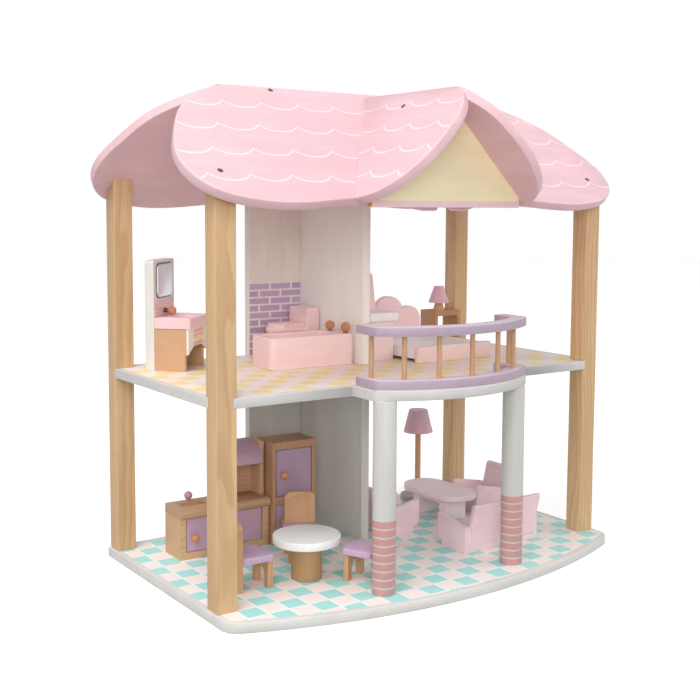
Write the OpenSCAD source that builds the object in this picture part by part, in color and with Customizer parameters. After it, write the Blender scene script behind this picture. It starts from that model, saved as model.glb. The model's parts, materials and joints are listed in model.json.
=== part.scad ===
// Two-storey open wooden dollhouse with a balcony, a gabled roof and its loose wooden furniture.
// Millimetres. +Z up, front of the house is -Y, the origin is on the underside of the base board,
// centred between the four corner posts.

/* [House] */
// Width over the corner posts
house_w = 584; // [560:1:610]
// Depth over the corner posts
house_d = 297; // [285:1:310]
// Side of the square corner posts
post = 25; // [22:0.5:27]
// Thickness of every house board
board_t = 12; // [10:0.5:14]
// Clear height of the ground floor
storey_h = 226; // [210:1:240]
// Height of the roof ridge above the table
ridge_z = 603; // [590:1:620]
// Rise of the roof over its run
roof_rise = 0.79; // [0.74:0.01:0.84]
// Diameter of the two porch columns
column_d = 27.5; // [20:0.5:28]
// Distance of a porch column from the middle
column_x = 99.5; // [90:0.5:103]

/* [Balcony] */
// Half width of the balcony floor
balcony_w = 118; // [112:1:124]
// Radius of the balcony's front edge
balcony_r = 190; // [180:1:200]
// Height of a balcony rail
rail_h = 11; // [8:0.5:13]
// Depth of a balcony rail seen from above
rail_w = 18; // [16:0.5:20]
// Clear height between the two rails
baluster_h = 50; // [40:1:60]
// Diameter of a baluster
baluster_d = 6; // [4:0.5:8]

/* [Furniture] */
// Seat height of a dining chair
chair_seat_h = 41; // [34:1:44]
// Height of a dining chair's back
chair_back_h = 81; // [70:1:90]
// Diameter of the dining table top
table_d = 82; // [70:1:84]
// Thickness of the dining table top
table_t = 10; // [6:0.5:12]
// Height of the dining table
table_h = 54; // [44:1:56]
// Height of the fridge
fridge_h = 137; // [132:1:145]
// Radius of a wooden door knob
knob_r = 5; // [4:0.25:5.5]
// Running clearance around a hinge pin
pin_gap = 0.06; // [0.02:0.01:0.1]
// Gap around an inset door
door_gap = 0.8; // [0.5:0.1:0.9]

/* [Hidden] */
$fn = 48;

hx = house_w / 2;
hy = house_d / 2;
z1 = board_t;                    // top of the base board
z2 = z1 + storey_h;              // underside of the upper floor
z3 = z2 + board_t;               // top of the upper floor
slope = atan(roof_rise);         // roof pitch
roof_v = board_t / cos(slope);   // vertical thickness of a roof board
under_z = ridge_z - roof_v;      // underside of the roof at the ridge
dado = 4;                        // depth of the upper floor in a post
dormer_z = ridge_z - 5;          // dormer ridge
px = hx - post / 2;              // post centres
py = hy - post / 2;
col_y = -192;
rail_z = z3;
top_rail_z = z3 + rail_h + baluster_h;
part_x0 = -7;                    // partition wall, left face
part_x1 = part_x0 + board_t;
part_y0 = -16;                   // partition wall, front end
cross_y0 = hy - board_t;         // cross wall, front face
cross_x0 = -91;                  // cross wall, left end
slab_dx = 3;                     // the balcony sits a little right of the middle
rail_dx = 5.5;

wood = [0.88, 0.74, 0.58];
pink = [0.96, 0.80, 0.82];
lilac = [0.78, 0.70, 0.83];
white = [0.96, 0.95, 0.93];

module at(p, a) { translate(p) rotate([0, 0, a]) children(); }

// flat plate with rounded upright edges
module rplate(w, d, h, r) {
  translate([-w / 2 + r, -d / 2, 0]) cube([w - 2 * r, d, h]);
  translate([-w / 2, -d / 2 + r, 0]) cube([w, d - 2 * r, h]);
  for (i = [-1, 1], j = [-1, 1]) translate([i * (w / 2 - r), j * (d / 2 - r), 0]) cylinder(r = r, h = h);
}

// points of an arc about c, from angle a0 to a1
function arc(c, r, a0, a1, n) = [for (i = [0 : n]) let (a = a0 + (a1 - a0) * i / n) [c[0] + r * cos(a), c[1] + r * sin(a)]];

// plan whose straight sides at x = +-w run into a front arc of radius R about (0, cy),
// with both front corners rounded to r
function bow(w, back, R, cy, r, n) =
  let (yc = cy - sqrt(pow(R - r, 2) - pow(w - r, 2)), phi = atan2(yc - cy, w - r))
  concat([[-w, back], [w, back]],
    [for (i = [0 : 6]) let (a = phi * i / 6) [w - r + r * cos(a), yc + r * sin(a)]],
    [for (i = [1 : n - 1]) let (a = phi + (-180 - 2 * phi) * i / n) [R * cos(a), cy + R * sin(a)]],
    [for (i = [0 : 6]) let (a = -180 - phi + phi * i / 6) [-(w - r) + r * cos(a), yc + r * sin(a)]]);

// smooth curve through hand-set round points, s steps between two of them
function crom(p, i, t) =
  let (m = len(p), a = p[(i + m - 1) % m], b = p[i], c = p[(i + 1) % m], d = p[(i + 2) % m])
  0.5 * (2 * b + (c - a) * t + (2 * a - 5 * b + 4 * c - d) * t * t + (3 * b - a - 3 * c + d) * t * t * t);
function smooth(p, i0, i1, s) = [for (i = [i0 : i1 - 1], k = [0 : s - 1]) crom(p, i, k / s)];

// right half of a main roof board: [across, down the slope]
main_pts = [[0, 0], [100, 0], [195, 0], [222, 8], [258, 32], [285, 60], [305, 100], [316, 128], [320, 153],
  [316, 177], [306, 195], [290, 209], [264, 220], [222, 227], [179, 225], [132, 219], [66, 217], [0, 217]];
main_half = concat([[0, 0]], smooth(main_pts, 2, 17, 3), [[0, 217]]);
main_outline = concat(main_half, [for (i = [len(main_half) - 2 : -1 : 1]) [-main_half[i][0], main_half[i][1]]]);

// dormer board: [along Y, down its 45 degree slope]
petal_pts = [[-195, 0], [-215, 14], [-235, 40], [-244, 80], [-242, 115], [-230, 148], [-208, 172], [-180, 183], [-160, 185]];
petal_edge = smooth(concat([[-150, -6]], petal_pts, [[-100, 190]]), 1, 8, 3);
petal_outline = concat([[40, 0]], petal_edge, [[-180, 183], [-150, 190], [40, 190]]);

// ---------- house ----------
module base_board() color(white) linear_extrude(z1)
  polygon(bow(hx + 3, hy + 1.5, 728.8, 490.8, 22, 40));

module floor_plan() {
  difference() {
    translate([-hx, -hy]) square([2 * hx, 2 * hy]);
    for (i = [-1, 1], j = [-1, 1])
      translate([i * (hx - (post - dado) / 2), j * (hy - (post - dado) / 2)]) square(post - dado + 0.0, center = true);
  }
  translate([slab_dx, 0]) polygon(bow(balcony_w, -hy + 1, balcony_r, -42, 8, 30));
}
module upper_floor() color(white) translate([0, 0, z2]) linear_extrude(board_t) floor_plan();

module roof_void() {
  // everything above the underside of the two main roof boards
  rotate([90, 0, 90]) translate([0, 0, -400]) linear_extrude(800)
    polygon([[0, under_z], [300, under_z - 300 * roof_rise], [300, 800], [-300, 800], [-300, under_z - 300 * roof_rise]]);
}

module corner_posts() color(wood) difference() {
  for (i = [-1, 1], j = [-1, 1]) translate([i * px - post / 2, j * py - post / 2, z1]) cube([post, post, 520]);
  roof_void();
  for (i = [-1, 1], j = [-1, 1]) {
    translate([i > 0 ? px - post / 2 - 1 : -px - post / 2 + post - dado, j * py - post / 2 - 1, z2]) cube([dado + 1, post + 2, board_t]);
    translate([i * px - post / 2 - 1, j > 0 ? py - post / 2 - 1 : -py - post / 2 + post - dado, z2]) cube([post + 2, dado + 1, board_t]);
  }
  roof_screws(1.5);
}

module porch_columns() color(white) for (i = [-1, 1]) translate([i * column_x, col_y, z1]) cylinder(d = column_d, h = storey_h, $fn = 64);

module ground_partition_wall() color(white) translate([part_x0, part_y0, z1]) cube([board_t, hy - part_y0, storey_h]);
module ground_cross_wall() color(white) translate([cross_x0, cross_y0, z1]) cube([part_x0 - cross_x0, board_t, storey_h]);
module upper_partition_wall() color(white) difference() {
  translate([part_x0, part_y0, z3]) cube([board_t, hy - part_y0, 400]);
  roof_void();
}
module upper_cross_wall() color(white) difference() {
  translate([cross_x0, cross_y0, z3]) cube([part_x0 - cross_x0, board_t, 400]);
  roof_void();
}

// screws: s = 1 front, -1 back; positions on the top face of the roof boards
module one_screw(p, ang, axis_x, r, head_r, len) {
  translate(p) rotate(axis_x ? [ang, 0, 0] : [0, ang, 0]) {
    translate([0, 0, -len]) cylinder(r = r, h = len, $fn = 24);
    translate([0, 0, -2.2]) cylinder(r1 = r, r2 = head_r, h = 2.2, $fn = 24);
  }
}
module roof_screws(r) {
  for (i = [-1, 1], s = [1, -1]) {
    one_screw([i * px, -s * 136, ridge_z - roof_rise * 136], s * slope, true, r, r + 2, 18);
    // the two sides are staggered along the ridge so the shanks pass each other
    one_screw([i * (s > 0 ? 140 : 152), -s * 5, ridge_z - roof_rise * 5], s * slope, true, r, r + 2, 15);
  }
  for (i = [-1, 1]) one_screw([i * 19, -115, dormer_z - 19], i * 45, false, r, r + 2, 9);
}
module screws() color([0.55, 0.55, 0.57]) roof_screws(1.45);

module main_board(s) difference() {
  intersection() {
    translate([0, 0, ridge_z]) rotate([s * slope, 0, 0]) translate([0, 0, -board_t]) linear_extrude(board_t)
      polygon([for (q = main_outline) [q[0], -s * q[1]]]);
    translate([-400, s > 0 ? -400 : 0, 300]) cube([800, 400, 400]);
  }
  roof_screws(1.5);
}
// the eave is cut straight behind the gable board
module roof_front() color(pink) difference() {
  main_board(1);
  translate([-63, -200, 430]) cube([126, 28.6, 50]);
}
module roof_back() color(pink) main_board(-1);

// dormer board on side s, above the top face of the front roof board
module dormer_board(s) difference() {
  intersection() {
    translate([0, 0, dormer_z]) rotate([0, s * 45, 0]) translate([0, 0, -board_t]) linear_extrude(board_t)
      polygon([for (q = petal_outline) [s * q[1], q[0]]]);
    translate([s > 0 ? 0 : -300, -300, 300]) cube([300, 300, 400]);
    rotate([90, 0, 90]) translate([0, 0, -300]) linear_extrude(600)
      polygon([[0, ridge_z], [0, 700], [-300, 700], [-300, ridge_z - 300 * roof_rise]]);
  }
  roof_screws(1.5);
}
module dormer_roof_left() color(pink) dormer_board(-1);
module dormer_roof_right() color(pink) dormer_board(1);

gable_top = dormer_z - board_t * sqrt(2);
module gable_board() color([0.96, 0.88, 0.70]) translate([0, -171.5, 0]) rotate([90, 0, 0]) linear_extrude(10)
  polygon([[-112, 457], [112, 457], [112, gable_top - 112], [0, gable_top], [-112, gable_top - 112]]);

module rail_plan() translate([rail_dx, 0]) difference() {
  polygon(bow(116, -hy, 187, -43, 10, 30));
  polygon(bow(116 - rail_w, -hy + 1, 187 - rail_w, -43, 22, 30));
}
rail_mid = 187 - rail_w / 2;
baluster_xy = concat([for (x = [-84, -45, 0, 45, 84]) [rail_dx + x, -43 - sqrt(rail_mid * rail_mid - x * x)]],
  [for (s = [-1, 1]) [rail_dx + s * (116 - rail_w / 2), -167]]);
module baluster_rods(r, z0, z1) for (q = baluster_xy) translate([q[0], q[1], z0]) cylinder(r = r, h = z1 - z0, $fn = 32);
module balcony_bottom_rail() color(lilac) difference() {
  translate([0, 0, rail_z]) linear_extrude(rail_h) rail_plan();
  baluster_rods(baluster_d / 2 + 0.05, rail_z + rail_h - 4, rail_z + rail_h + 1);
}
module balcony_top_rail() color(lilac) difference() {
  translate([0, 0, top_rail_z]) linear_extrude(rail_h) rail_plan();
  baluster_rods(baluster_d / 2 + 0.05, top_rail_z - 1, top_rail_z + 4);
}
module balusters() color(wood) baluster_rods(baluster_d / 2, rail_z + rail_h - 4, top_rail_z + 4);

// ---------- bathroom ----------
van_p = [-217.3, 88.7, z3];
van_a = 44;
van_w = 72;
module vanity_cabinet() color(wood) at(van_p, van_a) {
  for (s = [0, 1]) translate([s > 0 ? van_w / 2 - 7 : -van_w / 2, -18, 0]) cube([7, 40.5, 54]);
  // apron with an arched lower edge
  translate([0, -18, 0]) rotate([90, 0, 0]) linear_extrude(4.5)
    polygon([[-van_w / 2, 54], [-van_w / 2, 21], [-van_w / 2 + 20, 30], [van_w / 2 - 20, 30], [van_w / 2, 21], [van_w / 2, 54]]);
  translate([-van_w / 2 + 7, 18, 8]) cube([van_w - 14, 4.5, 46]);
}
module stadium(w, d, h) { rplate(w, d, h, d / 2 - 0.01); }
module vanity_basin() color(pink) at(van_p, van_a) difference() {
  translate([0, -1.5, 54]) rplate(van_w + 2, 48, 13, 2.5);
  translate([0, -6, 60]) rplate(44, 27, 20, 12);
}
module vanity_backboard() color(white) at(van_p, van_a) translate([0, 34.5, 0]) rotate([90, 0, 0]) linear_extrude(12) {
  translate([-van_w / 2, 0]) square([van_w, 134]);
  translate([-van_w / 2 + 5, 0]) square([van_w - 10, 139]);
  for (s = [-1, 1]) translate([s * (van_w / 2 - 5), 134]) circle(r = 5);
}
module vanity_mirror() color([0.75, 0.76, 0.80]) at(van_p, van_a) translate([0, 22.5, 112.5]) rotate([90, 0, 0]) rplate(52, 41, 1.8, 7);
module vanity_tap() color(wood) at(van_p, van_a) {
  translate([0, 22.5, 73.5]) rotate([90, 0, 0]) cylinder(r = 3, h = 7);
  translate([0, 12, 73.5]) sphere(r = 5.6, $fn = 40);
}

tub_p = [-73, 25, z3];
tub_a = -2;
module bathtub() color(pink) at(tub_p, tub_a) difference() {
  rplate(126, 57, 41, 9);
  translate([-6, 0, 14]) rplate(98, 43, 40, 12);
}
module bathtub_taps() color(wood) at(tub_p, tub_a) for (q = [[50.5, 15.5], [56, -15]]) {
  translate([q[0], q[1], 41]) cylinder(r = 3, h = 7.5);
  translate([q[0], q[1], 48.5]) sphere(r = 6.3, $fn = 40);
}

toi_p = [-10, 108, z3];
module toilet_body() color(pink) at(toi_p, -90) {
  // the bowl points to -Y here, the tank stands at the back
  translate([0, -9.5, 0]) rotate([90, 0, 0]) translate([0, 0, -9.5]) linear_extrude(19) {
    translate([-23.5, 0]) square([47, 62]);
    translate([-17.5, 0]) square([35, 68]);
    for (s = [-1, 1]) translate([s * 17.5, 62]) circle(r = 6);
  }
  translate([-15, -52, 0]) cube([30, 33, 36]);
  translate([0, -52, 0]) cylinder(r = 15, h = 36);
  translate([-18.5, -50, 36]) cube([37, 31, 6]);
  translate([0, -50, 36]) cylinder(r = 18.5, h = 6);
}
module toilet_lid() color(pink) at(toi_p, -90) {
  translate([-16.5, -49, 42]) cube([33, 29, 5]);
  translate([0, -49, 42]) cylinder(r = 16.5, h = 5);
}

// ---------- bedroom ----------
bed_p = [126, 33, z3];
bed_a = 0.5;
module bed_headboard() color(pink) at(bed_p, bed_a) translate([0, 80, 0]) rotate([90, 0, 0]) linear_extrude(10) {
  translate([-58, 0]) square([116, 39.5]);
  translate([0, 49.3]) circle(r = 26.7);
  for (s = [-1, 1]) translate([s * 37, 39.5]) circle(r = 21);
}
module bed_footboard() color(pink) at(bed_p, bed_a) translate([0, -75, 0]) rplate(130, 11, 21.5, 4);
module bed_mattress() color(white) at(bed_p, bed_a) translate([-61, -69.5, 4]) cube([122, 139.5, 16]);

dre_p = [38.5, 19, z3];
module dressing_table_body() color(pink) {
  translate([20, 2, z3]) cube([37, 34, 53.5]);
  // tall back standing on the table top's rear edge
  translate([0, 46, z3]) rotate([90, 0, 0]) linear_extrude(8)
    polygon([[24, 0], [54, 0], [54, 62], [48, 112], [46.4, 115.5], [43, 117], [34, 117], [30.6, 115.5], [29, 112], [23, 62]]);
}
module dressing_table_top() color(white) translate([15.5, -3, z3 + 53.5]) cube([46.5, 41, 11.5]);

ns_p = [241.5, 127, z3];
module nightstand() color(wood) translate(ns_p) {
  translate([-25, -18, 41]) cube([50, 36, 8]);
  for (s = [0, 1]) translate([s > 0 ? 19 : -25, -18, 0]) cube([6, 36, 41]);
}
lamp_p = [233, 121, z3 + 49];
module table_lamp_base() color(wood) translate(lamp_p) {
  cylinder(r1 = 9, r2 = 5.5, h = 12);
  translate([0, 0, 12]) cylinder(r = 2.5, h = 8);
}
module table_lamp_shade() color(pink) translate(lamp_p + [0, 0, 12]) difference() {
  cylinder(r1 = 16, r2 = 7.2, h = 25);
  translate([0, 0, -1]) cylinder(r = 2.55, h = 9.5);
}

// ---------- kitchen ----------
kit_p = [-179.3, 64.4, z1];
kit_a = -1.3;
kw = 127.3;
kd = 44.4;
kh = 52.8;
door_w = 48.5;                   // opening of a cupboard
door_h = 43.6;
door_z = 9.2;
door_t = 6;
pin_in = 3.2;                    // hinge pin from the edge of the opening
function kx(s) = s > 0 ? 6 : -6 - door_w;

// inset door, hinged on its right edge; local origin at the lower left front corner of the opening
module inset_door(w, h, kz) {
  pxx = w - pin_in;
  difference() {
    union() {
      translate([door_gap, 0, door_gap]) cube([pxx - door_gap, door_t, h - 2 * door_gap]);
      translate([pxx, door_t / 2, door_gap]) cylinder(r = door_t / 2, h = h - 2 * door_gap, $fn = 40);
    }
  }
  translate([pxx, door_t / 2, -1.8]) cylinder(r = 1, h = h + 3.6, $fn = 24);
  // knob
  translate([9.5, 1, kz]) rotate([90, 0, 0]) cylinder(r = 2, h = 5);
  translate([9.5, -5.5, kz]) sphere(r = knob_r, $fn = 40);
}
module pin_bores(w, h) translate([w - pin_in, door_t / 2, -2]) cylinder(r = 1 + pin_gap, h = h + 4, $fn = 24);

module kitchen_cabinet() color(wood) at(kit_p, kit_a) {
  difference() {
    translate([-kw / 2, -kd / 2, 0]) cube([kw, kd, kh]);
    for (s = [-1, 1]) {
      translate([kx(s), -kd / 2 - 1, door_z]) cube([door_w, kd - 5, door_h]);
      translate([kx(s), -kd / 2, door_z]) pin_bores(door_w, door_h);
    }
  }
  // cooker wall above the right half
  difference() {
    translate([4, -9, kh + 12]) cube([kw / 2 - 4, kd / 2 + 9, 72.2]);
    translate([10, -10, kh + 11]) cube([kw / 2 - 16, kd / 2 + 4, 62]);
    translate([10, -10, kh + 70]) cube([kw / 2 - 16, 22, 30]);
  }
}
module kitchen_worktop() color(wood) at(kit_p, kit_a) difference() {
  union() {
    translate([-kw / 2, -kd / 2, kh]) cube([kw, kd, 12]);
    translate([-kw / 2, -kd / 2, kh + 6]) rotate([0, 90, 0]) cylinder(r = 6, h = kw, $fn = 48);
  }
  translate([-52, -7, kh + 5]) cube([34, 17, 10]);
  for (s = [-1, 1]) translate([kx(s), -kd / 2, door_z]) pin_bores(door_w, door_h);
}
module kitchen_hood() color(lilac) at(kit_p, kit_a) intersection() {
  translate([10, 12, kh + 12 + 44.2]) rotate([0, 90, 0]) cylinder(r = 28, h = kw / 2 - 16, $fn = 72);
  translate([0, -20, kh + 12 + 44.2]) cube([100, 32, 28]);
}
module kitchen_tap() color(pink) at(kit_p, kit_a) translate([-34, 16, kh + 12]) {
  cylinder(r = 2.4, h = 5);
  translate([0, 0, 7]) sphere(r = 5.4, $fn = 40);
}
module sink_cupboard_door() color(lilac) at(kit_p, kit_a) translate([kx(-1), -kd / 2, door_z]) inset_door(door_w, door_h, door_h * 0.42);
module oven_door() color(lilac) at(kit_p, kit_a) translate([kx(1), -kd / 2, door_z]) inset_door(door_w, door_h, door_h * 0.42);

fri_p = [-81.5, 53, z1];
fri_a = -3;
fw = 64;
fd = 44;
fo_w = 54;
f1_z = 64.5;
f1_h = fridge_h - 10.5 - f1_z;
f0_z = 9;
f0_h = 44.5;
module fridge_case() color(wood) at(fri_p, fri_a) difference() {
  translate([-fw / 2, -fd / 2, 0]) cube([fw, fd, fridge_h]);
  translate([-fo_w / 2, -fd / 2 - 1, f1_z]) cube([fo_w, fd - 5, f1_h]);
  translate([-fo_w / 2, -fd / 2 - 1, f0_z]) cube([fo_w, fd - 5, f0_h]);
  translate([-fo_w / 2, -fd / 2, f1_z]) pin_bores(fo_w, f1_h);
  translate([-fo_w / 2, -fd / 2, f0_z]) pin_bores(fo_w, f0_h);
}
module fridge_upper_door() color(lilac) at(fri_p, fri_a) translate([-fo_w / 2, -fd / 2, f1_z]) inset_door(fo_w, f1_h, f1_h * 0.47);
module fridge_lower_door() color(lilac) at(fri_p, fri_a) translate([-fo_w / 2, -fd / 2, f0_z]) inset_door(fo_w, f0_h, f0_h * 0.52);

// ---------- dining corner ----------
tab_p = [-144.5, -96.8, z1];
module dining_table_top() color(white) translate(tab_p + [0, 0, table_h - table_t]) cylinder(d = table_d, h = table_t, $fn = 96);
module dining_table_leg() color(wood) translate(tab_p) cylinder(d = 37, h = table_h - table_t, $fn = 64);

module chair_frame() color(wood) {
  translate([0, 27, 0]) rotate([90, 0, 0]) linear_extrude(7) {
    translate([-19.5, 0]) square([39, chair_back_h - 9]);
    translate([-10.5, 0]) square([21, chair_back_h]);
    for (s = [-1, 1]) translate([s * 10.5, chair_back_h - 9]) circle(r = 9);
  }
  translate([0, -12, 0]) rotate([90, 0, 0]) linear_extrude(7) difference() {
    translate([-20, 0]) square([40, chair_seat_h - 8]);
    translate([-11, -1]) square([22, 14]);
    translate([0, 13]) circle(r = 11);
  }
}
module chair_seat() color(lilac) translate([0, 0, chair_seat_h - 8]) rplate(45, 40, 8, 4);
c1_p = [-214, -84, z1];
c2_p = [-110.8, -32.9, z1];
c3_p = [-89, -140, z1];
module chair_left_frame() at(c1_p, 88) chair_frame();
module chair_left_seat() at(c1_p, 88) chair_seat();
module chair_rear_frame() at(c2_p, -24) chair_frame();
module chair_rear_seat() at(c2_p, -24) chair_seat();
module chair_right_frame() at(c3_p, 205) chair_frame();
module chair_right_seat() at(c3_p, 205) chair_seat();

// ---------- living room ----------
fl_p = [190, 114, z1];
module floor_lamp_foot() color([0.62, 0.56, 0.52]) translate(fl_p) difference() {
  cylinder(r = 26, h = 8, $fn = 72);
  translate([0, 0, 2]) cylinder(r = 4.35, h = 10, $fn = 32);
}
module floor_lamp_pole() color(wood) translate(fl_p + [0, 0, 2]) cylinder(r = 4.3, h = 114, $fn = 32);
module floor_lamp_shade() color([0.78, 0.62, 0.68]) translate(fl_p + [0, 0, 104]) difference() {
  cylinder(r1 = 22.5, r2 = 14, h = 34, $fn = 64);
  translate([0, 0, -1]) cylinder(r = 4.35, h = 13.2, $fn = 32);
}

cof_p = [163, 28, z1];
cof_a = 4;
module coffee_table_top() color(pink) at(cof_p, cof_a) translate([0, 0, 32]) rplate(64, 122, 8, 31.5);
module coffee_table_legs() color(white) at(cof_p, cof_a) difference() {
  translate([-20, -34, 0]) cube([40, 68, 32]);
  translate([-21, -22, -1]) cube([42, 44, 25]);
}

// seat furniture faces -Y: plinth, seat block, two arms that rise to the front, a reclined back
module settee(w) color(pink) {
  translate([-w / 2 + 0, -19, 0]) cube([w, 47.5, 8.5]);
  translate([-w / 2 + 7, -24, 8.5]) cube([w - 14, 43.5, 20]);
  for (s = [-1, 1]) translate([s > 0 ? w / 2 - 7 : -w / 2, 0, 0]) rotate([90, 0, 90]) linear_extrude(7) {
    polygon([[-28.5, 13], [-28.5, 41], [-27.6, 43], [-25.5, 44], [-23, 44], [26, 34.5], [27.8, 33.4], [28.5, 31.5], [28.5, 8.5], [-24, 8.5], [-27, 9.6]]);
  }
  translate([-w / 2 + 7, 0, 0]) rotate([90, 0, 90]) linear_extrude(w - 14)
    polygon([[19.5, 8.5], [27.5, 8.5], [40.6, 62], [40, 64.2], [38, 65], [35, 64.6], [32.6, 62.6]]);
}
module sofa() at([135.5, -107.5, z1], 180) settee(127);
module armchair_left() at([59.5, 8, z1], 90) settee(56);
module armchair_right() at([228.5, 16, z1], -90) settee(56);

base_board();
upper_floor();
corner_posts();
porch_columns();
ground_partition_wall();
ground_cross_wall();
upper_partition_wall();
upper_cross_wall();
roof_front();
roof_back();
dormer_roof_left();
dormer_roof_right();
gable_board();
balcony_bottom_rail();
balcony_top_rail();
balusters();
screws();
vanity_cabinet();
vanity_basin();
vanity_backboard();
vanity_mirror();
vanity_tap();
bathtub();
bathtub_taps();
toilet_body();
toilet_lid();
bed_headboard();
bed_footboard();
bed_mattress();
dressing_table_body();
dressing_table_top();
nightstand();
table_lamp_base();
table_lamp_shade();
kitchen_cabinet();
kitchen_worktop();
kitchen_hood();
kitchen_tap();
sink_cupboard_door();
oven_door();
fridge_case();
fridge_upper_door();
fridge_lower_door();
dining_table_top();
dining_table_leg();
chair_left_frame();
chair_left_seat();
chair_rear_frame();
chair_rear_seat();
chair_right_frame();
chair_right_seat();
floor_lamp_foot();
floor_lamp_pole();
floor_lamp_shade();
coffee_table_top();
coffee_table_legs();
sofa();
armchair_left();
armchair_right();
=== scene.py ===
import json
import math
import bpy
import bmesh
from mathutils import Vector, Matrix


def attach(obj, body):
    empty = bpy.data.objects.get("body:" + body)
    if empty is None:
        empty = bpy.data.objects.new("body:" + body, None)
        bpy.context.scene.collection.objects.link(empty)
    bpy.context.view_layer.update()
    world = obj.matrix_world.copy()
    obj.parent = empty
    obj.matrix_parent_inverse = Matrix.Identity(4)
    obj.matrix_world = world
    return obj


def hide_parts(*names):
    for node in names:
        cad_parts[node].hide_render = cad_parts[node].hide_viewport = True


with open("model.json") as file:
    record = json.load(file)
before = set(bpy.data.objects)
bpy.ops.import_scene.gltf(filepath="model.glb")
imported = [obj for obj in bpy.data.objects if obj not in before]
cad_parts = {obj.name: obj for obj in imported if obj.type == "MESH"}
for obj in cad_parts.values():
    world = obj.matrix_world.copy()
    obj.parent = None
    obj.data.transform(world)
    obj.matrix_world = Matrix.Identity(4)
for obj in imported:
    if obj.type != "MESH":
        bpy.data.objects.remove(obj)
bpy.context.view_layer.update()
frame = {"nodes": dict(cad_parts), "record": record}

scene = bpy.context.scene

# ------------------------------------------------------------------ camera, light, floor
yaw, pitch, roll = math.radians(35.13), math.radians(5.19), math.radians(0.36)
fwd = Vector((math.sin(yaw) * math.cos(pitch), math.cos(yaw) * math.cos(pitch), -math.sin(pitch)))
r0 = Vector((math.cos(yaw), -math.sin(yaw), 0))
u0 = r0.cross(fwd)
right = r0 * math.cos(roll) + u0 * math.sin(roll)
up = u0 * math.cos(roll) - r0 * math.sin(roll)
cam_data = bpy.data.cameras.new("camera")
cam = bpy.data.objects.new("camera", cam_data)
scene.collection.objects.link(cam)
cam.matrix_world = Matrix((
    (right.x, up.x, -fwd.x, -0.8448),
    (right.y, up.y, -fwd.y, -1.1987),
    (right.z, up.z, -fwd.z, 0.4609),
    (0, 0, 0, 1)))
cam_data.sensor_width = 36
cam_data.lens = 57.17
cam_data.shift_x = -0.0131
cam_data.shift_y = -0.0647
cam_data.clip_start = 0.05
scene.camera = cam
scene.view_settings.view_transform = "Standard"

world = bpy.data.worlds.new("studio")
scene.world = world
world.use_nodes = True
world.node_tree.nodes["Background"].inputs["Color"].default_value = (1.0, 1.0, 1.0, 1)
wt = world.node_tree
w_tc = wt.nodes.new("ShaderNodeTexCoord")
w_sep = wt.nodes.new("ShaderNodeSeparateXYZ")
w_map = wt.nodes.new("ShaderNodeMapRange")
wt.links.new(w_tc.outputs["Generated"], w_sep.inputs[0])
wt.links.new(w_sep.outputs["Z"], w_map.inputs[0])
w_map.inputs[1].default_value = -0.15
w_map.inputs[2].default_value = 0.25
w_map.inputs[3].default_value = 0.41
w_map.inputs[4].default_value = 0.66
wt.links.new(w_map.outputs[0], wt.nodes["Background"].inputs["Strength"])


def area(name, loc, target, size, power, color=(1, 1, 1)):
    d = bpy.data.lights.new(name, "AREA")
    d.shape = "DISK"
    d.size = size
    d.energy = power
    d.color = color
    o = bpy.data.objects.new(name, d)
    scene.collection.objects.link(o)
    o.location = loc
    o.rotation_euler = (Vector(target) - Vector(loc)).to_track_quat("-Z", "Y").to_euler()
    return o


area("key", (-1.5, -0.7, 2.6), (0, 0, 0.25), 1.6, 34)
area("front", (-1.5, -2.4, 1.0), (0, 0, 0.25), 1.4, 24)
area("right", (2.3, -1.9, 1.5), (0, 0, 0.25), 1.4, 13)

# pale floor, and a white surround that only the camera sees
bm = bmesh.new()
bmesh.ops.create_circle(bm, cap_ends=True, segments=96, radius=9)
me = bpy.data.meshes.new("floor")
bm.to_mesh(me)
bm.free()
floor = bpy.data.objects.new("floor", me)
scene.collection.objects.link(floor)
floor.location.z = -0.0002
bm = bmesh.new()
bmesh.ops.create_icosphere(bm, subdivisions=4, radius=14)
me = bpy.data.meshes.new("surround")
bm.to_mesh(me)
bm.free()
surround = bpy.data.objects.new("surround", me)
scene.collection.objects.link(surround)
floor.visible_diffuse = False
for flag in ("visible_diffuse", "visible_glossy", "visible_transmission", "visible_volume_scatter", "visible_shadow"):
    setattr(surround, flag, False)


def stage_mat(name, base, emit):
    m = bpy.data.materials.new(name)
    m.use_nodes = True
    b = m.node_tree.nodes["Principled BSDF"]
    b.inputs["Base Color"].default_value = (base, base, base, 1)
    b.inputs["Roughness"].default_value = 0.9
    b.inputs["Specular IOR Level"].default_value = 0.1
    b.inputs["Emission Color"].default_value = (1, 1, 1, 1)
    b.inputs["Emission Strength"].default_value = emit
    return m


floor.data.materials.append(stage_mat("floor_pale", 0.86, 0.42))
surround.data.materials.append(stage_mat("surround_white", 0.0, 1.0))


# ------------------------------------------------------------------ node helpers
def lin(c):
    return tuple(((v / 255.0) / 12.92 if v / 255.0 <= 0.04045 else ((v / 255.0 + 0.055) / 1.055) ** 2.4) for v in c)


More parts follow.
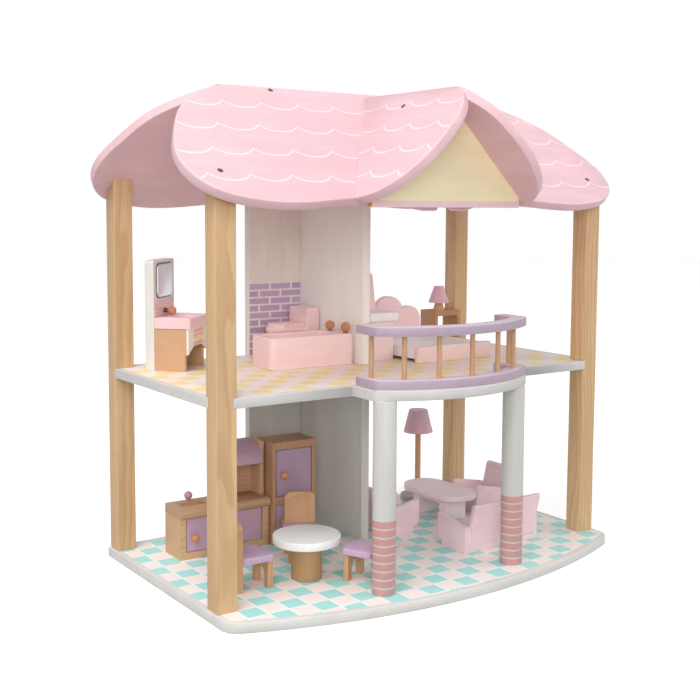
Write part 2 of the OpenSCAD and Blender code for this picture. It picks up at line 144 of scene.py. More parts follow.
class G:
    """A small writer of shader nodes. Coordinates are millimetres in the piece's own frame."""

    def __init__(self, name):
        self.m = bpy.data.materials.new(name)
        self.m.use_nodes = True
        self.t = self.m.node_tree
        self.t.nodes.clear()
        self.out = self.new("ShaderNodeOutputMaterial")
        self.b = self.new("ShaderNodeBsdfPrincipled")
        self.t.links.new(self.b.outputs[0], self.out.inputs[0])
        tc = self.new("ShaderNodeTexCoord")
        s = self.new("ShaderNodeVectorMath")
        s.operation = "SCALE"
        s.inputs["Scale"].default_value = 1000.0
        self.t.links.new(tc.outputs["Object"], s.inputs[0])
        self.p = s.outputs[0]

    def new(self, kind):
        return self.t.nodes.new(kind)

    def put(self, sock, v):
        if isinstance(v, bpy.types.NodeSocket):
            self.t.links.new(v, sock)
        elif isinstance(v, (tuple, list)) and len(v) == 3 and len(sock.default_value) == 4:
            sock.default_value = (*v, 1)
        else:
            sock.default_value = v

    def op(self, o, a, b=0.0, c=0.0, clamp=False):
        n = self.new("ShaderNodeMath")
        n.operation = o
        n.use_clamp = clamp
        for i, v in enumerate((a, b, c)):
            self.put(n.inputs[i], v)
        return n.outputs[0]

    def add(self, a, b): return self.op("ADD", a, b)
    def sub(self, a, b): return self.op("SUBTRACT", a, b)
    def mul(self, a, b): return self.op("MULTIPLY", a, b)

    def dot(self, v, d):
        n = self.new("ShaderNodeVectorMath")
        n.operation = "DOT_PRODUCT"
        self.put(n.inputs[0], v)
        n.inputs[1].default_value = tuple(d)
        return n.outputs["Value"]

    def comb(self, x, y, z):
        n = self.new("ShaderNodeCombineXYZ")
        for i, v in enumerate((x, y, z)):
            self.put(n.inputs[i], v)
        return n.outputs[0]

    def axes(self, origin=(0, 0, 0), ang=0.0):
        """Local x, y, z in mm of a piece placed at origin and turned by ang degrees."""
        c, s = math.cos(math.radians(ang)), math.sin(math.radians(ang))
        ox, oy, oz = origin
        x = self.sub(self.dot(self.p, (c, s, 0)), c * ox + s * oy)
        y = self.sub(self.dot(self.p, (-s, c, 0)), -s * ox + c * oy)
        z = self.sub(self.dot(self.p, (0, 0, 1)), oz)
        return x, y, z

    def noise(self, vec, scale=1.0, detail=2.0, rough=0.5, dist=0.0):
        n = self.new("ShaderNodeTexNoise")
        self.put(n.inputs["Vector"], vec)
        n.inputs["Scale"].default_value = scale
        n.inputs["Detail"].default_value = detail
        n.inputs["Roughness"].default_value = rough
        n.inputs["Distortion"].default_value = dist
        return n.outputs[0]

    def mix(self, f, a, b, mode="MIX"):
        n = self.new("ShaderNodeMix")
        n.data_type = "RGBA"
        n.blend_type = mode
        self.put(n.inputs[0], f)
        self.put(n.inputs[6], a)
        self.put(n.inputs[7], b)
        return n.outputs[2]

    def step(self, v, lo, hi):
        """0 below lo, 1 above hi, smooth between."""
        n = self.new("ShaderNodeMapRange")
        n.interpolation_type = "SMOOTHSTEP"
        self.put(n.inputs[0], v)
        n.inputs[1].default_value = lo
        n.inputs[2].default_value = hi
        return n.outputs[0]

    def band(self, v, lo, hi, soft=0.25):
        return self.mul(self.step(v, lo - soft, lo + soft), self.sub(1.0, self.step(v, hi - soft, hi + soft)))

    def nor(self):
        g = self.new("ShaderNodeTexCoord")
        return g.outputs["Normal"]

    def bump(self, h, strength, dist_mm):
        n = self.new("ShaderNodeBump")
        n.inputs["Strength"].default_value = strength
        n.inputs["Distance"].default_value = dist_mm / 1000.0
        self.put(n.inputs["Height"], h)
        return n.outputs[0]

    def done(self, color, rough, normal=None, coat=0.0, metallic=0.0, spec=0.35):
        self.put(self.b.inputs["Base Color"], color)
        self.put(self.b.inputs["Roughness"], rough)
        self.b.inputs["Metallic"].default_value = metallic
        self.b.inputs["Specular IOR Level"].default_value = spec
        self.b.inputs["Coat Weight"].default_value = coat
        self.b.inputs["Coat Roughness"].default_value = 0.35
        if normal is not None:
            self.put(self.b.inputs["Normal"], normal)
        return self.m


PERM = {"x": (1, 2, 0), "y": (0, 2, 1), "z": (0, 1, 2)}


def grain(g, xyz, axis, pitch=3.4, centre=(-34.0, 21.0), seed=0.0):
    """Growth rings round a pith beside the board, plus fibres along the grain: (ring 0..1, fibre 0..1, blotch 0..1)."""
    a, b, l = (xyz[i] for i in PERM[axis])
    slow = g.comb(g.mul(a, 0.02), g.mul(b, 0.02), g.add(g.mul(l, 0.0045), seed))
    warp = g.mul(g.sub(g.noise(slow, 1.0, 2.0, 0.5), 0.5), 26.0)
    da, db = g.sub(a, centre[0]), g.sub(b, centre[1])
    rad = g.op("SQRT", g.add(g.mul(da, da), g.mul(db, db)))
    f = g.op("FRACT", g.op("DIVIDE", g.add(g.add(rad, warp), seed * 7.3), pitch))
    ring = g.mul(g.step(f, 0.15, 0.86), g.sub(1.0, g.step(f, 0.9, 1.0)))
    fine = g.comb(g.mul(a, 1.9), g.mul(b, 1.9), g.add(g.mul(l, 0.05), seed * 3.1))
    fibre = g.noise(fine, 1.0, 3.0, 0.62)
    blot = g.noise(slow, 2.3, 2.0, 0.5)
    return ring, fibre, blot


def wood(name, base, dark, axis="z", origin=(0, 0, 0), ang=0.0, seed=0.0, pitch=3.4, centre=(-34.0, 21.0), rough=0.52, post=None):
    g = G(name)
    xyz = g.axes(origin, ang)
    ring, fibre, blot = grain(g, xyz, axis, pitch, centre, seed)
    c = g.mix(g.mul(ring, 0.46), lin(base), lin(dark))
    c = g.mix(g.mul(g.step(fibre, 0.46, 0.72), 0.42), c, lin(dark))
    c = g.mix(g.mul(g.step(blot, 0.4, 0.75), 0.30), c, lin(tuple(min(255, v * 1.05) for v in base)))
    if post is not None:
        c = post(g, xyz, c)
    h = g.add(g.mul(ring, 0.35), g.mul(fibre, 0.65))
    r = g.add(rough, g.mul(g.sub(fibre, 0.5), 0.22))
    return g.done(c, r, g.bump(h, 0.42, 0.28))


def paint(name, rgb, axis="x", origin=(0, 0, 0), ang=0.0, seed=0.0, rough=0.42, worn=0.0, light=1.06, post=None, under=(222, 186, 146), mott=0.55):
    """Brushed matt paint over wood: grain telegraphs through it, colour pools slightly, worn > 0 wears it through."""
    g = G(name)
    xyz = g.axes(origin, ang)
    ring, fibre, blot = grain(g, xyz, axis, 4.6, (-61.0, 37.0), seed)
    base = lin(rgb)
    dark = lin(tuple(v * 0.94 for v in rgb))
    pale = lin(tuple(min(255, v * light) for v in rgb))
    c = g.mix(g.mul(g.step(fibre, 0.42, 0.74), mott), base, dark)
    c = g.mix(g.mul(g.step(blot, 0.42, 0.70), 0.45), c, pale)
    c = g.mix(g.mul(ring, 0.10), c, dark)
    if post is not None:
        c = post(g, xyz, c)
    if worn > 0:
        sp = g.noise(g.comb(g.mul(xyz[0], 0.32), g.mul(xyz[1], 0.32), g.mul(xyz[2], 0.32)), 1.0, 4.0, 0.62)
        thin = g.step(sp, 0.60 - worn * 0.25, 0.72)
        c = g.mix(g.mul(thin, 0.6), g.mix(0.10, c, (0.93, 0.9, 0.86)), lin(under))
    speck = g.noise(g.comb(*[g.mul(v, 2.1) for v in xyz]), 1.0, 2.0, 0.5)
    h = g.add(g.mul(fibre, 0.6), g.mul(speck, 0.4))
    r = g.add(rough, g.mul(g.sub(speck, 0.5), 0.24))
    return g.done(c, r, g.bump(h, 0.30, 0.16), coat=0.06)


# ------------------------------------------------------------------ mesh helpers
EDGE = {}


def copy_of(node, w=0.6, seg=2, angle=30.0, minlen=None, name=None, drop=None):
    """A finished copy of a CAD solid: welded, coplanar triangles joined, its arrises rounded to w mm with their own material index."""
    me = frame["nodes"][node].data.copy()
    bm = bmesh.new()
    bm.from_mesh(me)
    bmesh.ops.remove_doubles(bm, verts=bm.verts, dist=3e-6)
    bmesh.ops.dissolve_limit(bm, angle_limit=math.radians(0.5), verts=bm.verts, edges=bm.edges)
    bmesh.ops.dissolve_degenerate(bm, edges=bm.edges, dist=2e-6)
    for f in bm.faces:
        f.smooth = True
        f.material_index = 0
    layer = bm.edges.layers.float.new("bevel_weight_edge")
    ml = (minlen if minlen is not None else 2.4 * w) / 1000.0
    for e in bm.edges:
        if len(e.link_faces) == 2:
            a = e.calc_face_angle(0.0)
            if a > math.radians(angle):
                if w > 0 and e.calc_length() >= ml:
                    e[layer] = 1.0
                else:
                    e.smooth = False
    new = bpy.data.meshes.new(name or node)
    bm.to_mesh(new)
    bm.free()
    bpy.data.meshes.remove(me)
    o = bpy.data.objects.new((name or node) + ".finished", new)
    scene.collection.objects.link(o)
    if w > 0:
        b = o.modifiers.new("arris", "BEVEL")
        b.width = w / 1000.0
        b.segments = seg
        b.limit_method = "WEIGHT"
        b.use_clamp_overlap = False
        b.harden_normals = True
        b.material = 1
    return o


def put_on(o, body, mats, *nodes):
    o.data.materials.clear()
    for m in mats:
        o.data.materials.append(m)
    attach(o, body)
    if nodes:
        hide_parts(*nodes)
    return o


NODE_BODY = {n: b for b, ns in frame["record"]["behaviour"]["bodies"].items() for n in ns}


def finish_node(node, mats, w=0.6, **kw):
    o = copy_of(node, w, **kw)
    return put_on(o, NODE_BODY[node], mats, node)


# ------------------------------------------------------------------ colours seen in daylight (sRGB 0-255), except the fridge door lilac, darkened as painted shade, and the rail top lilac, paled as a painted highlight
PINK = (252, 214, 216)
ROOF = (236, 195, 202)
SOFA = (246, 214, 220)
LILAC = (186, 166, 184)
DOOR = (198, 160, 182)
SEAT = (206, 177, 205)
HOOD = (196, 161, 180)
# a darker copy of the door lilac: painted shade for the fridge doors
FRIDGE_DOOR_PAINTED_SHADE = (174, 144, 166)
# a paler lilac, painted on the rails' top faces as a painted highlight
LILAC_PAINTED_HIGHLIGHT = (222, 208, 220)
WHITE = (240, 238, 234)
MAUVE = (226, 182, 194)
TAUPE = (178, 158, 150)
PINE = (221, 185, 142)
PINE_D = (188, 145, 100)
BEECH = (214, 168, 128)
BEECH_D = (190, 141, 102)
Z1, Z3 = 12.0, 250.0


def checker(g, xyz, x0, y0, pitch, gap, tile_a, tile_b, joint, c, edge):
    """Printed check with thin joints, inside a plain border. edge is the distance in mm to the board's outline."""
    x, y, z = xyz
    tx = g.op("DIVIDE", g.sub(x, x0 - pitch / 2), pitch)
    ty = g.op("DIVIDE", g.sub(y, y0 - pitch / 2), pitch)
    ix, iy = g.op("FLOOR", tx), g.op("FLOOR", ty)
    par = g.op("FLOORED_MODULO", g.add(ix, iy), 2.0)
    fx, fy = g.mul(g.sub(tx, ix), pitch), g.mul(g.sub(ty, iy), pitch)
    inx = g.band(fx, gap / 2, pitch - gap / 2, 0.3)
    iny = g.band(fy, gap / 2, pitch - gap / 2, 0.3)
    inside = g.mul(inx, iny)
    # every tile is a little different, and the ink is slightly uneven
    w = g.new("ShaderNodeTexWhiteNoise")
    w.noise_dimensions = "2D"
    g.put(w.inputs["Vector"], g.comb(ix, iy, 0.0))
    ink = g.noise(g.comb(g.mul(x, 0.35), g.mul(y, 0.35), 0.0), 1.0, 3.0, 0.6)
    a = g.mix(g.mul(w.outputs["Value"], 0.22), lin(tile_a), lin(tuple(min(255, v * 1.05) for v in tile_a)))
    b = g.mix(g.mul(w.outputs["Value"], 0.30), lin(tile_b), lin(tuple(v * 0.965 for v in tile_b)))
    t = g.mix(par, a, b)
    t = g.mix(g.mul(g.step(ink, 0.5, 0.75), 0.16), t, (1.0, 1.0, 1.0))
    p = g.mix(inside, lin(joint), t)
    top = g.step(z, -0.9, -0.25)
    return g.mix(g.mul(top, g.step(edge, 0.0, 0.5)), c, p)


def base_print(g, xyz, c):
    x, y, z = xyz
    yy = g.sub(y, 490.8)
    front = g.sub(728.8, g.op("SQRT", g.add(g.mul(x, x), g.mul(yy, yy))))
    e = g.op("MINIMUM", g.sub(295.0, g.op("ABSOLUTE", x)), g.op("MINIMUM", front, g.sub(150.0, y)))
    return checker(g, (x, y, g.sub(z, Z1)), 7.3, -108.1, 26.3, 2.3, (172, 231, 227), (254, 242, 236), (255, 252, 248), c, g.sub(e, 7.0))


def upper_print(g, xyz, c):
    x, y, z = xyz
    yy = g.add(y, 42.0)
    xb = g.sub(x, 3.0)
    bulge = g.op("MINIMUM", g.sub(190.0, g.op("SQRT", g.add(g.mul(xb, xb), g.mul(yy, yy)))), g.sub(118.0, g.op("ABSOLUTE", xb)))
    slab = g.op("MINIMUM", g.sub(292.0, g.op("ABSOLUTE", x)), g.add(y, 148.5))
    e = g.op("MINIMUM", g.op("MAXIMUM", bulge, slab), g.sub(148.5, y))
    return checker(g, (x, y, g.sub(z, Z3)), 12.8, -48.5, 26.3, 1.6, (249, 229, 165), (251, 240, 238), (254, 249, 240), c, g.sub(e, 6.0))


def scallops(g, u, v, rows, pitch, u0, sag, width, c, ink=(255, 244, 247)):
    """White scallop lines. rows: v of the cusps, alternate rows shifted by half a pitch."""
    m = 0.0
    wob = g.mul(g.sub(g.noise(g.comb(g.mul(u, 0.05), g.mul(v, 0.05), 0.0), 1.0, 1.0, 0.5), 0.5), 1.2)
    for i, r in enumerate(rows):
        t = g.op("FRACT", g.op("DIVIDE", g.sub(u, u0[i % len(u0)]), pitch))
        a = g.op("ABSOLUTE", g.sub(g.mul(t, 2.0), 1.0))
        curve = g.mul(g.sub(1.0, g.op("POWER", a, 2.6)), sag)
        d = g.op("ABSOLUTE", g.sub(g.add(g.sub(v, r), wob), curve))
        # the pen gets thinner on the steep ends
        wd = g.sub(1.0, g.step(d, width * 0.42, width * 0.95))
        m = g.op("MAXIMUM", m, wd)
    soft = g.noise(g.comb(g.mul(u, 0.4), g.mul(v, 0.4), 0.0), 1.0, 2.0, 0.6)
    return g.mix(g.mul(m, g.add(0.40, g.mul(g.step(soft, 0.3, 0.6), 0.30))), c, lin(ink))


def roof_print(side):
    def post(g, xyz, c):
        x, y, z = xyz
        cs = math.cos(math.atan(0.79))
        v = g.mul(y, -side / cs)
        # height above the plane of the top face
        above = g.sub(z, g.sub(603.0, g.mul(g.mul(y, -side), 0.79)))
        top = g.step(above, -1.2, -0.6)
        s = scallops(g, x, v, (36, 83.5, 131, 178.5), 52.3, (-10.3, -35.4), 11.5, 1.9, c)
        return g.mix(top, c, s)
    return post


def dormer_print(side):
    def post(g, xyz, c):
        x, y, z = xyz
        v = g.mul(x, side * math.sqrt(2))
        above = g.sub(z, g.sub(598.0, g.mul(x, side)))
        top = g.step(above, -1.2, -0.6)
        s = scallops(g, y, v, DORMER_ROWS, DORMER_PITCH, DORMER_U0, 10.5, 1.9, c)
        return g.mix(top, c, s)
    return post


DORMER_ROWS, DORMER_PITCH, DORMER_U0 = (19.5, 61, 99.5, 140.5), 51.5, (-72.9, -109.0, -125.0, -160.5)


def gable_print(g, xyz, c):
    x, y, z = xyz
    c = g.mix(g.step(z, 464.4, 465.2), lin((246, 212, 214)), c)
    side = g.step(g.op("ABSOLUTE", x), 111.2, 111.9)
    return g.mix(side, c, lin((206, 164, 104)))


def bands(g, xyz, c):
    """Painted brick bands round the lower part of a porch column."""
    x, y, z = xyz
    t = g.op("DIVIDE", g.sub(z, Z1), 9.9)
    f = g.mul(g.op("FRACT", t), 9.9)
    wob = g.mul(g.sub(g.noise(g.comb(g.mul(x, 0.2), g.mul(y, 0.2), g.mul(z, 0.02)), 1.0, 1.0, 0.5), 0.5), 1.0)
    m = g.mul(g.band(g.add(f, wob), 0.1, 8.4, 0.35), g.sub(1.0, g.step(z, Z1 + 88.0, Z1 + 88.8)))
    ink = g.noise(g.comb(g.mul(x, 0.5), g.mul(y, 0.5), g.mul(z, 0.5)), 1.0, 3.0, 0.6)
    p = g.mix(g.mul(ink, 0.5), lin((204, 150, 150)), lin((214, 168, 166)))
    return g.mix(m, c, p)


def bricks(g, xyz, c):
    """Printed bricks on the front of the upper cross wall, from 100 mm above the floor down."""
    x, y, z = xyz
    row = g.op("FLOOR", g.op("DIVIDE", g.sub(350.0, z), 10.05))
    fz = g.sub(g.sub(350.0, z), g.mul(row, 10.05))
    half = g.mul(g.op("FLOORED_MODULO", row, 2.0), 17.2)
    tx = g.op("DIVIDE", g.add(g.add(x, 91.0), half), 34.4)
    fx = g.mul(g.op("FRACT", tx), 34.4)
    m = g.mul(g.band(fx, 0.6, 31.6, 0.35), g.band(fz, 0.5, 8.2, 0.35))
    m = g.mul(m, g.mul(g.sub(1.0, g.step(z, 350.0, 350.4)), g.sub(1.0, g.step(y, 137.0, 137.6))))
    w = g.new("ShaderNodeTexWhiteNoise")
    w.noise_dimensions = "2D"
    g.put(w.inputs["Vector"], g.comb(g.op("FLOOR", tx), row, 0.0))
    b = g.mix(w.outputs["Value"], lin((190, 168, 204)), lin((204, 182, 212)))
    ink = g.noise(g.comb(g.mul(x, 0.6), 0.0, g.mul(z, 0.6)), 1.0, 3.0, 0.6)
    b = g.mix(g.mul(g.step(ink, 0.55, 0.8), 0.3), b, (0.9, 0.85, 0.9))
    return g.mix(m, c, b)


# ------------------------------------------------------------------ house materials
def edge_of(name, rgb, **kw):
    return paint(name + "_arris", tuple(min(255, v * 1.02) for v in rgb), worn=kw.pop("worn", 0.12), **kw)


m_base = [paint("base_white", (224, 221, 217), "x", post=base_print, seed=1.0), paint("base_white_arris", (222, 218, 214), "x", seed=1.0, worn=0.12)]
m_upper = [paint("upper_white", (214, 212, 209), "x", post=upper_print, seed=2.0), paint("upper_white_arris", (220, 218, 215), "x", seed=2.0, worn=0.2)]
m_wall_lo = [paint("wall_white", (216, 212, 207), "z", seed=3.0), edge_of("wall_white", (212, 209, 205), axis="z", seed=3.0)]
m_wall_up = [paint("wall_cream", (252, 249, 243), "z", seed=4.0), edge_of("wall_cream", (248, 240, 236), axis="z", seed=4.0)]
m_brick = [paint("wall_brick", (244, 236, 229), "z", seed=5.0, post=bricks), edge_of("wall_brick", (246, 238, 234), axis="z", seed=5.0)]
# painted shade: the white porch columns get a grey base colour, as if lying in the shade below the slab
m_column = [paint("column_white_painted_shade", (212, 210, 205), "z", seed=6.0, post=bands), edge_of("column_white_painted_shade", (212, 210, 205), axis="z", seed=6.0, post=bands)]
m_rf = [paint("roof_front_pink", ROOF, "x", seed=7.0, post=roof_print(1)), edge_of("roof_front", ROOF, axis="x", seed=7.0)]
m_rb = [paint("roof_back_pink", ROOF, "x", seed=8.0, post=roof_print(-1)), edge_of("roof_back", ROOF, axis="x", seed=8.0)]
m_dl = [paint("dormer_left_pink", ROOF, "y", seed=9.0, post=dormer_print(-1)), edge_of("dormer_left", ROOF, axis="y", seed=9.0)]
m_dr = [paint("dormer_right_pink", ROOF, "y", seed=10.0, post=dormer_print(1)), edge_of("dormer_right", ROOF, axis="y", seed=10.0)]
m_gable = [paint("gable_cream", (253, 240, 198), "x", seed=11.0, post=gable_print), edge_of("gable", (240, 218, 180), axis="x", seed=11.0)]


def rail_top_painted_highlight(z_top):
    def post(g, xyz, c):
        # painted highlight: the rail's top face, within 0.6 mm of z_top, is painted a paler lilac
        return g.mix(g.step(xyz[2], z_top - 0.6, z_top - 0.1), c, lin(LILAC_PAINTED_HIGHLIGHT))
    return post


m_rail_lo = [paint("rail_lilac_low", LILAC, "x", seed=12.0, post=rail_top_painted_highlight(261.0)), edge_of("rail_low", (196, 178, 194), axis="x", seed=12.0)]
m_rail_hi = [paint("rail_lilac_top", LILAC, "x", seed=13.0, post=rail_top_painted_highlight(322.0)), edge_of("rail_high", (204, 188, 202), axis="x", seed=13.0)]


def post_wood(g, xyz, c):
    return c


m_post = [wood("post_pine", PINE, PINE_D, "z", seed=20.0, pitch=5.2, centre=(-330.0, 260.0)),
          wood("post_pine_arris", tuple(v * 1.01 for v in PINE), PINE_D, "z", seed=20.0, pitch=5.2, centre=(-330.0, 260.0))]
m_baluster = wood("baluster_pine", (208, 168, 132), (178, 134, 98), "z", seed=21.0, pitch=1.6, centre=(-8.0, 5.0))


def screw_metal(name):
    g = G(name)
    n = g.noise(g.p, 1.7, 3.0, 0.6)
    c = g.mix(n, (0.10, 0.085, 0.08), (0.28, 0.25, 0.24))
    return g.done(c, g.add(0.34, g.mul(n, 0.25)), g.bump(n, 0.3, 0.06), metallic=0.9, spec=0.5)


m_screw = screw_metal("screw_metal")

finish_node("base_board", m_base, 0.9)
finish_node("upper_floor", m_upper, 0.9)
finish_node("corner_posts", m_post, 1.1, minlen=3.0)
finish_node("porch_columns", m_column, 0.7, minlen=0.6)
finish_node("ground_partition_wall", m_wall_lo, 0.8)
finish_node("ground_cross_wall", m_wall_lo, 0.8)
finish_node("upper_partition_wall", m_wall_up, 0.8)
finish_node("upper_cross_wall", m_brick, 0.8)
finish_node("roof_front", m_rf, 1.5, seg=3, minlen=2.4)
finish_node("roof_back", m_rb, 1.5, seg=3, minlen=2.4)
finish_node("dormer_roof_left", m_dl, 1.5, seg=3, minlen=2.4)
finish_node("dormer_roof_right", m_dr, 1.5, seg=3, minlen=2.4)
finish_node("gable_board", m_gable, 0.5)
finish_node("balcony_bottom_rail", m_rail_lo, 0.9, minlen=1.4)
finish_node("balcony_top_rail", m_rail_hi, 0.9, minlen=1.4)
finish_node("balusters", [m_baluster, m_baluster], 0.0)
finish_node("screws", [m_screw, m_screw], 0.0)

# ------------------------------------------------------------------ furniture materials
VAN = ((-217.3, 88.7, Z3), 44.0)
TUB = ((-73.0, 25.0, Z3), -2.0)
TOI = ((-10.0, 108.0, Z3), -90.0)
BED = ((126.0, 33.0, Z3), 0.5)
DRE = ((38.5, 19.0, Z3), 0.0)
NST = ((241.5, 127.0, Z3), 0.0)
LMP = ((233.0, 121.0, Z3 + 49), 0.0)
KIT = ((-179.3, 64.4, Z1), -1.3)
FRI = ((-81.5, 53.0, Z1), -3.0)
TAB = ((-144.5, -96.8, Z1), 0.0)
C1 = ((-214.0, -84.0, Z1), 88.0)
C2 = ((-110.8, -32.9, Z1), -24.0)
C3 = ((-89.0, -140.0, Z1), 205.0)
FLO = ((190.0, 114.0, Z1), 0.0)
COF = ((163.0, 28.0, Z1), 4.0)
SOF = ((135.5, -107.5, Z1), 180.0)
AL = ((59.5, 8.0, Z1), 90.0)
AR = ((228.5, 16.0, Z1), -90.0)


def P(name, rgb, where, axis="x", **kw):
    seed = kw.pop("seed", sum(ord(ch) for ch in name) % 37 * 1.3)
    return [paint(name, rgb, axis, where[0], where[1], seed=seed, **kw),
            paint(name + "_arris", tuple(min(255, v * 1.015) for v in rgb), axis, where[0], where[1], seed=seed, worn=0.12, post=kw.get("post"))]


def Wd(name, where, axis="z", base=BEECH, dark=BEECH_D, **kw):
    seed = kw.pop("seed", sum(ord(ch) for ch in name) % 41 * 1.7)
    m = wood(name, base, dark, axis, where[0], where[1], seed=seed, pitch=kw.pop("pitch", 3.0), centre=kw.pop("centre", (-52.0, 33.0)), **kw)
    return [m, m]


def apron_print(g, xyz, c):
    """The painted apron in front of the vanity, with a small striped towel patch at its right."""
    x, y, z = xyz
    front = g.sub(1.0, g.step(y, -20.4, -19.8))
    c = g.mix(g.mul(front, 1.0), c, lin((244, 240, 236)))
    f = g.op("FRACT", g.op("DIVIDE", z, 9.0))
    patch = g.mul(g.band(x, -16.0, 19.0, 0.3), g.band(z, 31.0, 51.0, 0.3))
    col = g.mix(g.step(z, 36.0, 36.6), lin((238, 168, 150)), lin((248, 214, 140)))
    col = g.mix(g.step(z, 43.0, 43.6), col, lin((240, 150, 160)))
    line = g.band(f, 0.08, 0.24, 0.04)
    col = g.mix(line, col, lin((250, 246, 240)))
    return g.mix(g.mul(front, g.mul(patch, 0.8)), c, col)


def mirror_bricks_and_shadow_line(g, xyz, c):
    """Pink printed bricks under the mirror, and a grey painted shadow line round the mirror plate."""
    x, y, z = xyz
    front = g.sub(1.0, g.step(y, 23.0, 23.4))
    qx = g.sub(g.op("ABSOLUTE", x), 20.0)
    qz = g.sub(g.op("ABSOLUTE", g.sub(z, 112.5)), 14.5)
    mx, mz = g.op("MAXIMUM", qx, 0.0), g.op("MAXIMUM", qz, 0.0)
    d = g.op("SQRT", g.add(g.mul(mx, mx), g.mul(mz, mz)))
    # painted shadow: a grey line all round the proud mirror plate
    ring = g.band(d, 5.0, 8.2, 0.25)
    c = g.mix(g.mul(front, ring), c, lin((120, 118, 126)))
    row = g.op("FLOOR", g.op("DIVIDE", z, 5.0))
    half = g.mul(g.op("FLOORED_MODULO", row, 2.0), 6.0)
    fx = g.mul(g.op("FRACT", g.op("DIVIDE", g.add(x, half), 12.0)), 12.0)
    fz = g.mul(g.op("FRACT", g.op("DIVIDE", z, 5.0)), 5.0)
    m = g.mul(g.band(fx, 0.5, 11.2, 0.2), g.band(fz, 0.4, 4.3, 0.2))
    m = g.mul(m, g.mul(g.band(z, 67.0, 88.0, 0.2), g.band(x, -31.0, 31.0, 0.2)))
    return g.mix(g.mul(front, m), c, lin((244, 190, 188)))


def cooker_print(g, xyz, c):
    """Burner rings, each with a dot at its centre, printed on the worktop."""
    x, y, z = xyz
    top = g.step(z, 64.0, 64.5)
    for bx, by in ((22.0, -9.0), (44.0, -9.0), (22.0, 8.0), (44.0, 8.0)):
        dx, dy = g.sub(x, bx), g.sub(y, by)
        d = g.op("SQRT", g.add(g.mul(dx, dx), g.mul(dy, dy)))
        ring = g.op("MAXIMUM", g.band(d, 4.6, 6.6, 0.3), g.band(d, -1.0, 2.0, 0.3))
        c = g.mix(g.mul(g.mul(top, ring), 0.8), c, lin((214, 150, 140)))
    return c


m_white_f = (250, 249, 247)
finish_node("vanity_cabinet", Wd("vanity_wood", VAN, "x", base=(214, 172, 136), dark=(198, 152, 114), post=apron_print), 0.5)
finish_node("vanity_basin", P("basin_pink", PINK, VAN, "x"), 0.6, minlen=0.5)
finish_node("vanity_backboard", P("vanity_back_white", (230, 227, 221), VAN, "z", post=mirror_bricks_and_shadow_line), 0.7, minlen=0.5)
finish_node("bathtub", P("tub_pink", (254, 220, 218), TUB, "x"), 1.3, seg=3, minlen=0.8)
finish_node("toilet_body", P("toilet_pink", (254, 220, 220), TOI, "x"), 0.7, minlen=0.9)
finish_node("toilet_lid", P("toilet_lid_pink", (254, 220, 222), TOI, "x"), 0.6, minlen=0.9)
finish_node("bed_headboard", P("headboard_pink", PINK, BED, "x"), 0.8, minlen=1.0)
finish_node("bed_footboard", P("footboard_pink", (254, 224, 222), BED, "x"), 1.0, minlen=0.5)
finish_node("bed_mattress", P("mattress_white", m_white_f, BED, "y"), 0.8)
finish_node("dressing_table_body", P("dressing_pink", (254, 224, 222), DRE, "z"), 0.8)
finish_node("dressing_table_top", P("dressing_white", m_white_f, DRE, "x"), 0.8)
finish_node("nightstand", Wd("nightstand_wood", NST, "x", base=(190, 144, 110), dark=(164, 116, 82)), 0.6)
finish_node("kitchen_cabinet", Wd("kitchen_wood", KIT, "x", base=(214, 176, 140), dark=(194, 152, 114)), 0.5, minlen=2.0)
finish_node("kitchen_worktop", Wd("worktop_wood", KIT, "x", base=(204, 164, 128), dark=(178, 136, 100), post=cooker_print), 0.4, minlen=2.0)
finish_node("kitchen_hood", P("hood_lilac", HOOD, KIT, "x"), 0.6, minlen=2.0)
finish_node("fridge_case", Wd("fridge_wood", FRI, "z", base=(190, 146, 116), dark=(164, 118, 88)), 0.5, minlen=2.0)
finish_node("dining_table_top", P("table_white", m_white_f, TAB, "x"), 1.6, seg=3, minlen=0.8)
finish_node("dining_table_leg", Wd("table_leg_wood", TAB, "z", base=(194, 154, 112), dark=(170, 128, 90)), 0.5, minlen=0.5)
for tag, node, wh in (("left", "chair_left", C1), ("rear", "chair_rear", C2), ("right", "chair_right", C3)):
    finish_node(node + "_frame", Wd("chair_wood_" + tag, wh, "z"), 0.6, minlen=1.2)
    finish_node(node + "_seat", P("chair_lilac_" + tag, SEAT, wh, "x"), 0.8, minlen=0.4)
finish_node("floor_lamp_foot", P("lamp_foot_taupe", TAUPE, FLO, "x"), 0.8, minlen=0.5)
finish_node("floor_lamp_pole", Wd("lamp_pole_wood", FLO, "z", pitch=1.6, centre=(-9.0, 4.0)), 0.0)
finish_node("floor_lamp_shade", P("lamp_shade_mauve", MAUVE, FLO, "z"), 0.5, minlen=0.5)
finish_node("table_lamp_base", Wd("table_lamp_wood", LMP, "z", pitch=1.6, centre=(-9.0, 4.0)), 0.0)
finish_node("table_lamp_shade", P("table_lamp_mauve", MAUVE, LMP, "z"), 0.4, minlen=0.5)
finish_node("coffee_table_top", P("coffee_pink", (254, 226, 232), COF, "y"), 1.3, seg=3, minlen=0.8)
finish_node("coffee_table_legs", P("coffee_legs_pink", (254, 232, 234), COF, "y"), 0.6)
finish_node("sofa", P("sofa_pink", SOFA, SOF, "x"), 0.7, minlen=1.4)
finish_node("armchair_left", P("armchair_left_pink", SOFA, AL, "x"), 0.7, minlen=1.4)
finish_node("armchair_right", P("armchair_right_pink", SOFA, AR, "x"), 0.7, minlen=1.4)


# knobs and taps: turned wood, dark brown at the vanity tap's back end and at the foot of the bath taps
def tap_mats(name, rgb, dark, where, dark_end_mask):
    def post(g, xyz, c):
        return g.mix(dark_end_mask(g, xyz), c, lin((96, 74, 70)))
    m = wood(name, rgb, dark, "z", where[0], where[1], seed=5.5, pitch=1.3, centre=(-7.0, 5.0), post=post)
    return [m, m]


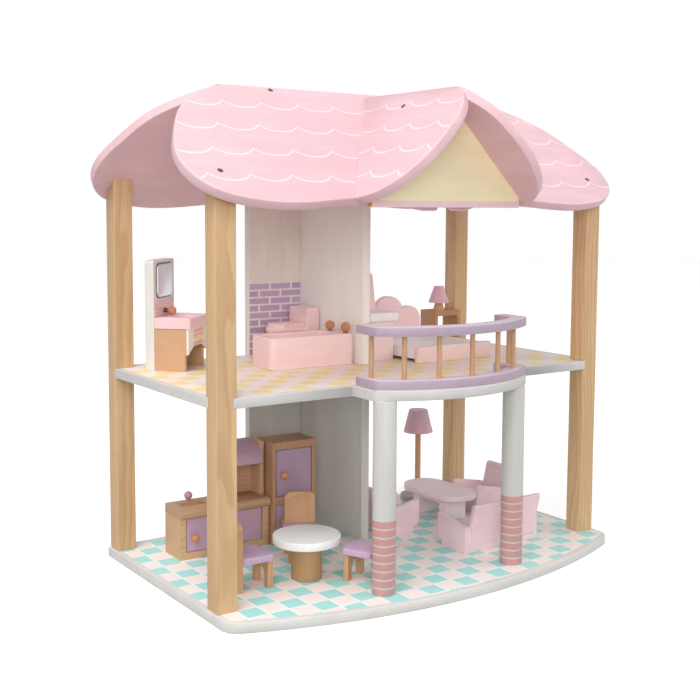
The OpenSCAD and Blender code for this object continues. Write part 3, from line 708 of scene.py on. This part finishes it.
finish_node("vanity_tap", tap_mats("vanity_tap_wood", (214, 150, 108), (176, 110, 74), VAN, lambda g, q: g.step(q[1], 17.0, 17.4)), 0.0)
finish_node("bathtub_taps", tap_mats("bath_taps_wood", (214, 150, 108), (176, 110, 74), TUB, lambda g, q: g.sub(1.0, g.step(q[2], 42.2, 42.6))), 0.0)
finish_node("kitchen_tap", P("kitchen_tap_mauve", (206, 160, 170), KIT, "z"), 0.0)

# mirror
g = G("mirror_foil")
wv = g.noise(g.comb(g.mul(g.dot(g.p, (1, 0, 0)), 0.03), g.mul(g.dot(g.p, (0, 1, 0)), 0.03), g.mul(g.dot(g.p, (0, 0, 1)), 0.03)), 1.0, 2.0, 0.5)
sc = g.noise(g.p, 0.9, 4.0, 0.7)
mirror_m = g.done(g.mix(g.mul(sc, 0.35), (0.86, 0.87, 0.93), (0.72, 0.73, 0.80)), g.add(0.30, g.mul(sc, 0.18)), g.bump(wv, 0.25, 0.6), metallic=0.9, spec=0.5)
finish_node("vanity_mirror", [mirror_m, mirror_m], 0.3, minlen=0.4)

def knob_wood(fridge):
    """The knob stands proud of the door panel and is bare turned wood."""
    def post(g, xyz, c):
        x, y, z = xyz
        front = -22.0 if fridge else -22.2
        m = g.sub(1.0, g.step(y, front - 0.5, front - 0.2))
        f = g.noise(g.comb(g.mul(x, 1.5), g.mul(y, 0.1), g.mul(z, 1.5)), 1.0, 3.0, 0.6)
        w = g.mix(g.step(f, 0.35, 0.7), lin((226, 160, 112)), lin((190, 116, 72)))
        return g.mix(m, c, w)
    return post


# doors: the CAD panel with rounded arrises is shown with its turned knob; the fridge doors get a darker lilac as
# painted shade
for node, wh, tag in (("sink_cupboard_door", KIT, "sink"), ("oven_door", KIT, "oven"), ("fridge_upper_door", FRI, "fridge_top"), ("fridge_lower_door", FRI, "fridge_low")):
    finish_node(node, P("door_lilac_" + tag, FRIDGE_DOOR_PAINTED_SHADE if wh is FRI else DOOR, wh, "z", post=knob_wood(wh is FRI)), 0.45, minlen=8.0)

bpy.context.view_layer.update()
